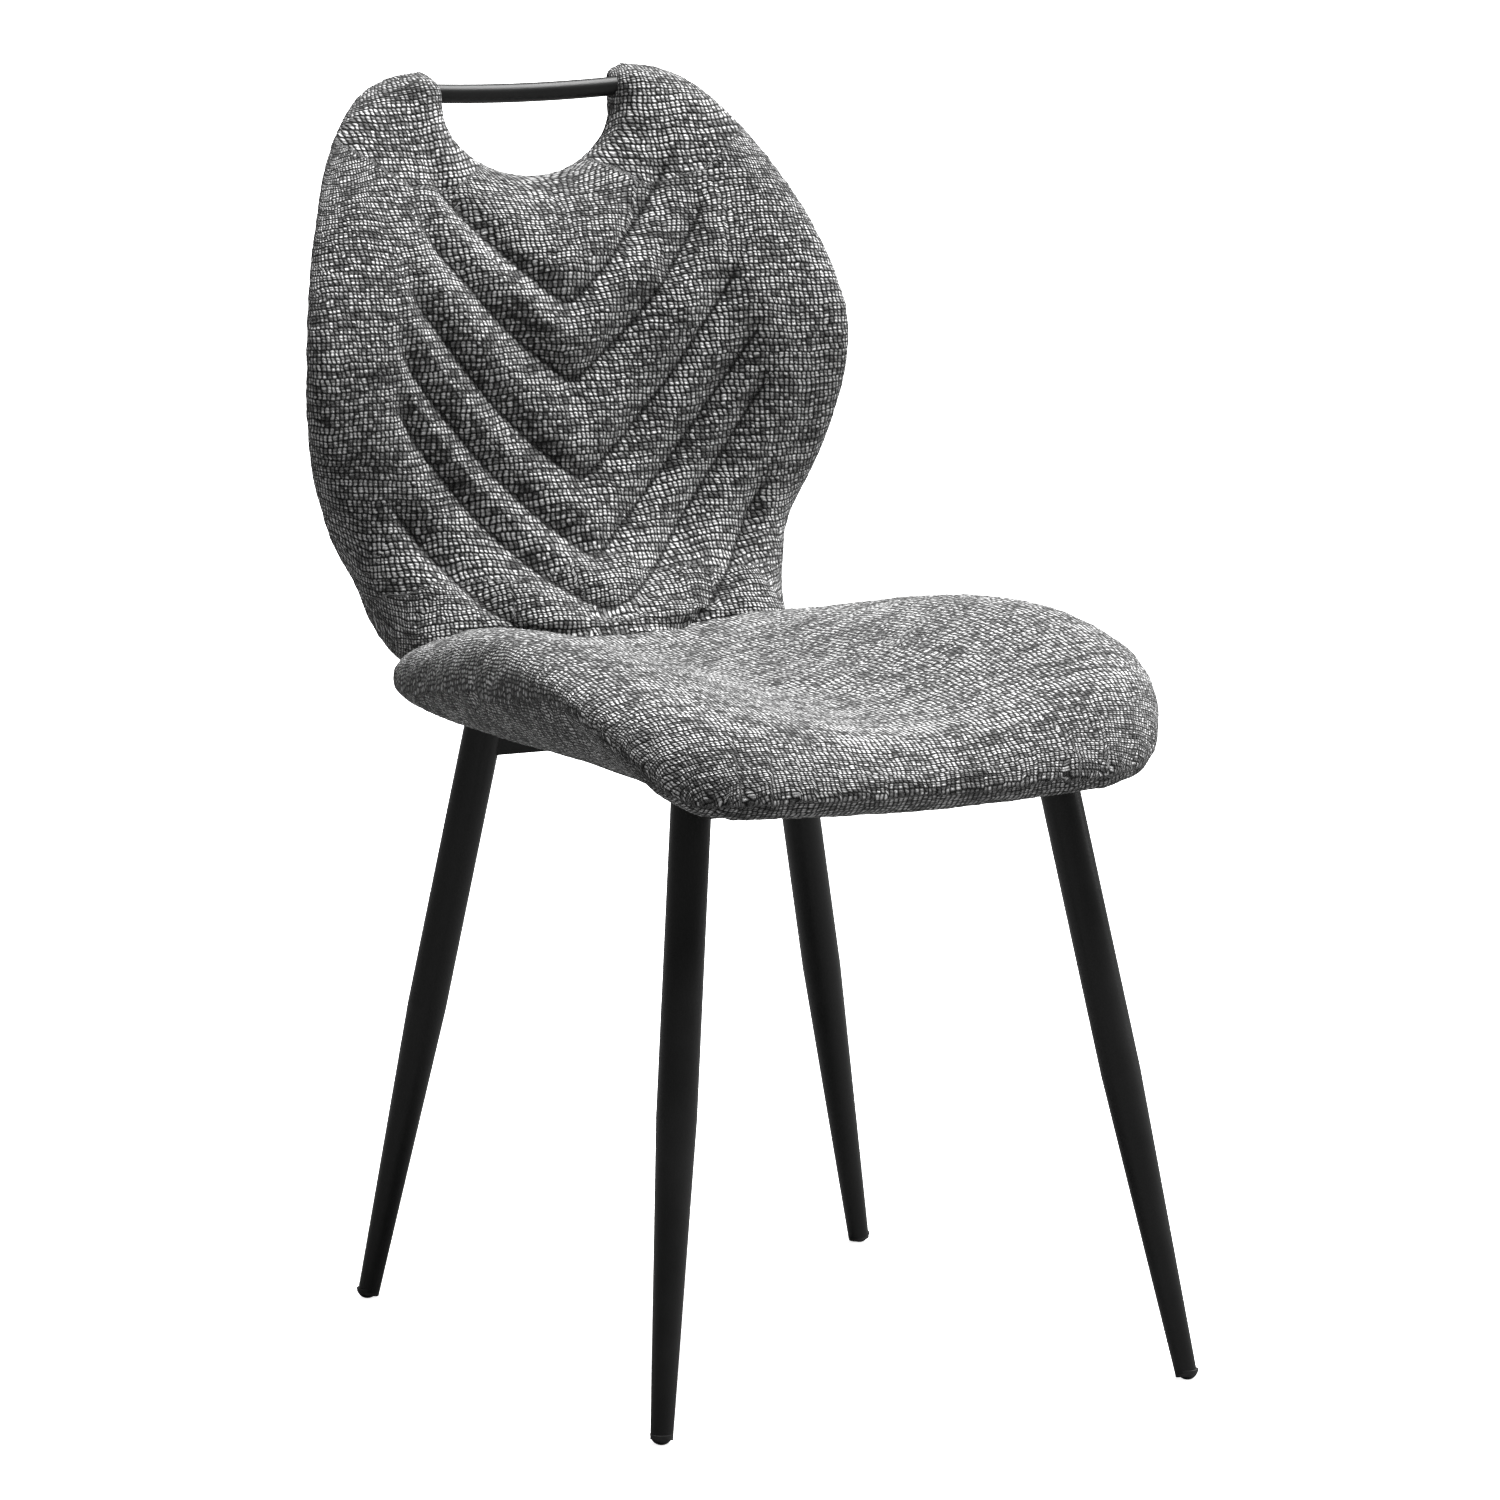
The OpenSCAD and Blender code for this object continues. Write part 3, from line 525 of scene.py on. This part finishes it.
def zinc():
    """Zinc plate: cloudy, with a fine grain."""
    k = Maker("zinc_plate")
    where = k.place()
    cloud = k.noise(where, 90.0, 4.0, 0.6)
    colour = k.ramp(cloud, [(0.3, (0.42, 0.43, 0.42)), (0.7, (0.62, 0.62, 0.58))])
    rough = k.remap(cloud, 0.3, 0.7, 0.28, 0.5)
    fine = k.noise(where, 1600.0, 2.0)
    return k.finish(Base_Color=colour, Metallic=1.0, Roughness=rough, Normal=k.bump(fine, 0.2, 0.0002))


def plywood():
    """Birch plywood: long grain along X, and the layers show on the edges."""
    k = Maker("plywood_birch")
    x, y, z = k.axes(k.place())
    fine = 160.0
    grain_at = k.vector(
        k.math("MULTIPLY", x, 14.0), k.math("MULTIPLY", y, fine), k.math("MULTIPLY", z, fine)
    )
    grain = k.noise(grain_at, 1.0, 4.0, 0.6)
    layer = 0.0028
    ply = k.math("SINE", k.math("MULTIPLY", z, 2 * math.pi / layer))
    tone = k.math("ADD", k.math("MULTIPLY", ply, 0.12), grain)
    colour = k.ramp(
        tone, [(0.3, (0.3, 0.17, 0.08)), (0.55, (0.52, 0.34, 0.18)), (0.8, (0.64, 0.46, 0.27))]
    )
    return k.finish(Base_Color=colour, Roughness=0.68, Normal=k.bump(grain, 0.35, 0.0005))


def spunbond():
    """Black non-woven dust cloth: pressed dimples in a close grid, loose fibres between."""
    k = Maker("dust_cloth_black")
    where = k.place()
    x, y, _ = k.axes(where)
    turn = 2 * math.pi / 0.0022
    dimple = k.math(
        "MULTIPLY",
        k.math("SINE", k.math("MULTIPLY", x, turn)),
        k.math("SINE", k.math("MULTIPLY", y, turn)),
    )
    fibre = k.noise(where, 700.0, 4.0, 0.7)
    tone = k.math("ADD", k.math("MULTIPLY", dimple, 0.12), fibre)
    colour = k.ramp(tone, [(0.3, grey(0.006)), (0.6, grey(0.016)), (0.85, grey(0.045))])
    return k.finish(Base_Color=colour, Roughness=0.85, Normal=k.bump(tone, 0.5, 0.0006))


def moulded_black():
    """Black plastic of the glides: grained and a little scuffed."""
    k = Maker("moulded_plastic_black")
    where = k.place()
    grain = k.noise(where, 1200.0, 3.0, 0.6)
    scuff = k.noise(where, 160.0, 4.0, 0.7)
    colour = k.ramp(scuff, [(0.35, grey(0.010)), (0.75, grey(0.028))])
    rough = k.remap(scuff, 0.3, 0.7, 0.42, 0.62)
    return k.finish(Base_Color=colour, Roughness=rough, Normal=k.bump(grain, 0.3, 0.0003))


def floor_white():
    """A pale floor that the camera sees as white."""
    k = Maker("floor_white")
    cloud = k.noise(k.place(), 3.0, 2.0)
    seen = k.node("ShaderNodeLightPath", out="Is Camera Ray")
    low = k.remap(seen, 0.0, 1.0, FLOOR_BOUNCE, FLOOR_SEEN)
    pale = k.math("MULTIPLY", low, k.remap(cloud, 0.2, 0.8, 0.98, 1.0))
    return k.finish(
        Base_Color=k.same(pale),
        Roughness=0.9,
        Emission_Color=(1, 1, 1, 1),
        Emission_Strength=k.math("MULTIPLY", seen, FLOOR_GLOW),
    )


cloth = woven_cloth()
FINISH = {
    "cover_fabric": cloth,
    "foam": cloth,
    "black_steel": black_coat(),
    "zinc_steel": zinc(),
    "plywood": plywood(),
    "dust_fabric": spunbond(),
    "black_plastic": moulded_black(),
}

# ---------------------------------------------------------------- seat pad

board_lo, board_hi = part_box("seat_board")


def over_board(co):
    """1 where the pad rests on its board and frame, so it stays flat there."""
    inside = (
        (np.abs(co[:, 0]) < board_hi[0] + BOARD_ROOM)
        & (co[:, 1] > board_lo[1] - BOARD_ROOM)
        & (co[:, 1] < board_hi[1] + BOARD_ROOM)
        & (co[:, 2] < board_hi[2] + 0.003)
    )
    return inside.astype(float)


seat = copy_of("seat_pad", "seat_foam", "seat_cover")
remesh(seat, REMESH)
even_out(seat, 60)
swell(seat, over_board)
even_out(seat, 30)
subdivide(seat)
cloth_coordinates(seat, 2, 1)
roughen(seat)
# The seat has no seams, so its painted seam shadow is off everywhere.
attribute(seat, "seam_shadow_distance", np.full(len(seat.data.vertices), 1.0))

# ---------------------------------------------------------------- back pad


def bar_stubs():
    """The two ends of the handle inside the ears, to fill the tube's hole before the remesh."""
    bm = bmesh.new()
    bm.from_mesh(frame["nodes"]["handle_bar"].data)
    bmesh.ops.remove_doubles(bm, verts=bm.verts, dist=0.00002)
    other = bm.copy()
    for b, side in ((bm, 1), (other, -1)):
        bmesh.ops.bisect_plane(
            b, geom=b.verts[:] + b.edges[:] + b.faces[:], plane_co=(side * EAR_WALL, 0, 0),
            plane_no=(side, 0, 0), clear_inner=True,
        )
        bmesh.ops.holes_fill(b, edges=[e for e in b.edges if e.is_boundary], sides=0)
    mesh = bpy.data.meshes.new("stub")
    other.to_mesh(mesh)
    other.free()
    bm.from_mesh(mesh)
    bpy.data.meshes.remove(mesh)
    return new_piece("stubs", bm)


def join(keep, other):
    bm = bmesh.new()
    for o in (keep, other):
        bm.from_mesh(o.data)
    bm.to_mesh(keep.data)
    bm.free()
    bpy.data.objects.remove(other)


def quilt(piece):
    """Presses the sewn V lines into the front of the back and lets the filling puff up between them.
    Leaves the signed distance to the nearest line on the mesh, for the thread's shadow."""
    mesh = piece.data
    co, no = places(mesh), normals(mesh)
    x, z = np.abs(co[:, 0]), co[:, 2]
    front = smoothstep(0.25, 0.65, -no[:, 1])
    near = np.full(len(co), 1.0)
    reach = np.zeros(len(co))
    for tip, slope, grow, half in QUILT:
        soft_x = np.sqrt(x * x + QUILT_TIP_RADIUS**2) - QUILT_TIP_RADIUS
        line_z = tip + slope * soft_x + grow * soft_x**2
        lean = slope + 2 * grow * soft_x
        gap = (z - line_z) / np.sqrt(1 + lean * lean)
        nearer = np.abs(gap) < np.abs(near)
        near[nearer] = gap[nearer]
        fade = smoothstep(half, half - QUILT_FADE, x)
        reach[nearer] = fade[nearer]
    d = np.abs(near)
    groove = np.exp(-((d / QUILT_HALF) ** 1.25))
    crown = 1 - np.exp(-((d / PUFF_HALF) ** 2))
    push = -QUILT_DEPTH * groove * reach + PUFF * (crown - PUFF_LEVEL) * reach
    turn = -no[:, 1] - RIM_SEAM
    pull = -RIM_DEPTH * np.exp(-((turn / RIM_HALF) ** 2))
    put(mesh, co + no * (push * front + pull)[:, None])
    seam_shade = near.copy()
    hidden = (reach < 0.35) | (front < 0.6)
    seam_shade[hidden] = np.sign(near[hidden] + 1e-9) * np.maximum(d[hidden], 0.004)
    # The painted seam shadow also runs along the rim seam, where the front and rear panels meet.
    rim = (np.abs(turn) < 0.3) & (z > RIM_FROM)
    seam_shade[rim] = turn[rim] * RIM_RADIUS
    attribute(piece, "seam_shadow_distance", seam_shade)


clip_lo, clip_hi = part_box("handle_clip_right")
foot_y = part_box("bracket_right")[1][1]
back = copy_of(
    "back_pad", "back_foam", "back_cover_front", "back_cover_rear", "back_board",
    "handle_clip_left", "handle_clip_right",
)
join(back, bar_stubs())
remesh(back, REMESH)
even_out(back, 24)
swell(back, lambda co: (co[:, 2] < BACK_HELD_BELOW).astype(float))
even_out(back, 12)
for side in (1, -1):
    fatten(back, (side * FOOT_X, foot_y, FOOT_Z), FOOT_REACH, FOOT_FULL)
co = places(back.data)
co[:, 1] -= EARS_FORWARD * smoothstep(FORWARD_FROM, FORWARD_TO, co[:, 2])
put(back.data, co)
for side in (1, -1):
    tip = (side * (clip_lo[0] - 0.004), (clip_lo[1] + clip_hi[1]) / 2, clip_hi[2] - 0.006)
    soften(back, tip, EAR_SOFT, EAR_ROUNDS)
    fatten(back, tip, EAR_SOFT, EAR_FULL)
    draw_in(back, (tip[0], tip[1], tip[2] + EAR_RISE), EAR_SOFT, -side * EAR_INWARD)
subdivide(back)
cloth_coordinates(back, -1, 2)
quilt(back)
roughen(back)

# ---------------------------------------------------------------- dust cloth under the seat

dust_lo, dust_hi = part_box("dust_cover")
dust_sheet = copy_of("dust_cloth", "dust_cover")
bm = bmesh.new()
bm.from_mesh(dust_sheet.data)
for axis in (0, 1):
    along = Vector((1 - axis, axis, 0))
    cut = dust_lo[axis] + DUST_CUT
    while cut < dust_hi[axis]:
        bmesh.ops.bisect_plane(
            bm, geom=bm.verts[:] + bm.edges[:] + bm.faces[:], plane_co=along * cut, plane_no=along
        )
        cut += DUST_CUT
bm.to_mesh(dust_sheet.data)
bm.free()
co = places(dust_sheet.data)
for i in range(len(co)):
    wave = noise.noise(Vector((co[i, 0] * DUST_WAVES, co[i, 1] * DUST_WAVES, 0)))
    co[i, 2] -= DUST_SAG * (0.5 + 0.5 * wave)
put(dust_sheet.data, co)
dust_sheet.data.materials.clear()
dust_sheet.data.materials.append(FINISH["dust_fabric"])
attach(dust_sheet, "root")
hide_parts("dust_cover")

# ---------------------------------------------------------------- the pads' finish and place

SOFT_NODES = {
    seat: ("seat_foam", "seat_cover"),
    back: ("back_foam", "back_cover_front", "back_cover_rear"),
}
for pad, nodes in SOFT_NODES.items():
    smooth_shaded(pad)
    pad.data.materials.clear()
    pad.data.materials.append(cloth)
    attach(pad, "root")
    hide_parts(*nodes)

# ---------------------------------------------------------------- finishes of the CAD pieces

for part in frame["record"]["subparts"]:
    mesh = frame["nodes"][part["node"]].data
    mesh.materials.clear()
    mesh.materials.append(FINISH[part["material_slot"]])

# ---------------------------------------------------------------- camera, light, floor

AIM = Vector((0.0246, -0.0095, 0.4073))
AZIMUTH = math.radians(-27)
ELEVATION = math.radians(9.5)
DISTANCE = 6.0

away = Vector((
    math.sin(AZIMUTH) * math.cos(ELEVATION),
    -math.cos(AZIMUTH) * math.cos(ELEVATION),
    math.sin(ELEVATION),
))
camera = bpy.data.objects.new("camera", bpy.data.cameras.new("camera"))
scene.collection.objects.link(camera)
camera.location = AIM + away * DISTANCE
camera.rotation_euler = away.to_track_quat("Z", "Y").to_euler()
camera.data.sensor_width = 36
camera.data.lens = 203.7
camera.data.clip_end = 200
scene.camera = camera

bm = bmesh.new()
bmesh.ops.create_circle(bm, cap_ends=True, radius=FLOOR_RADIUS, segments=96)
floor = new_piece("floor", bm)
floor.data.materials.append(floor_white())

# The camera sees a white background, and the chair gets less light from it.
SKY_SEEN = 1.0
SKY_LIGHT = 0.14
world = bpy.data.worlds.new("studio")
world.use_nodes = True
sky = world.node_tree
seen = sky.nodes.new("ShaderNodeLightPath")
strength = sky.nodes.new("ShaderNodeMapRange")
sky.links.new(seen.outputs["Is Camera Ray"], strength.inputs["Value"])
strength.inputs["To Min"].default_value = SKY_LIGHT
strength.inputs["To Max"].default_value = SKY_SEEN
sky.links.new(strength.outputs[0], sky.nodes["Background"].inputs["Strength"])
sky.nodes["Background"].inputs["Color"].default_value = (1, 1, 1, 1)
scene.world = world


def lamp(name, kind, turn, energy):
    """A light whose back looks along turn."""
    light = bpy.data.lights.new(name, kind)
    light.energy = energy
    o = bpy.data.objects.new(name, light)
    o.rotation_euler = turn.to_track_quat("Z", "Y").to_euler()
    scene.collection.objects.link(o)
    return o


soft_sky = lamp("soft_sky", "SUN", Vector((0.34, -0.02, 1)), 8.2)
soft_sky.data.angle = math.radians(50)

key_at, key_aim = Vector((2.6, -0.7, 1.5)), Vector((0, 0, 0.6))
key = lamp("key_right", "AREA", key_at - key_aim, 22)
key.location = key_at
key.data.shape = "RECTANGLE"
key.data.size = 0.8
key.data.size_y = 1.2
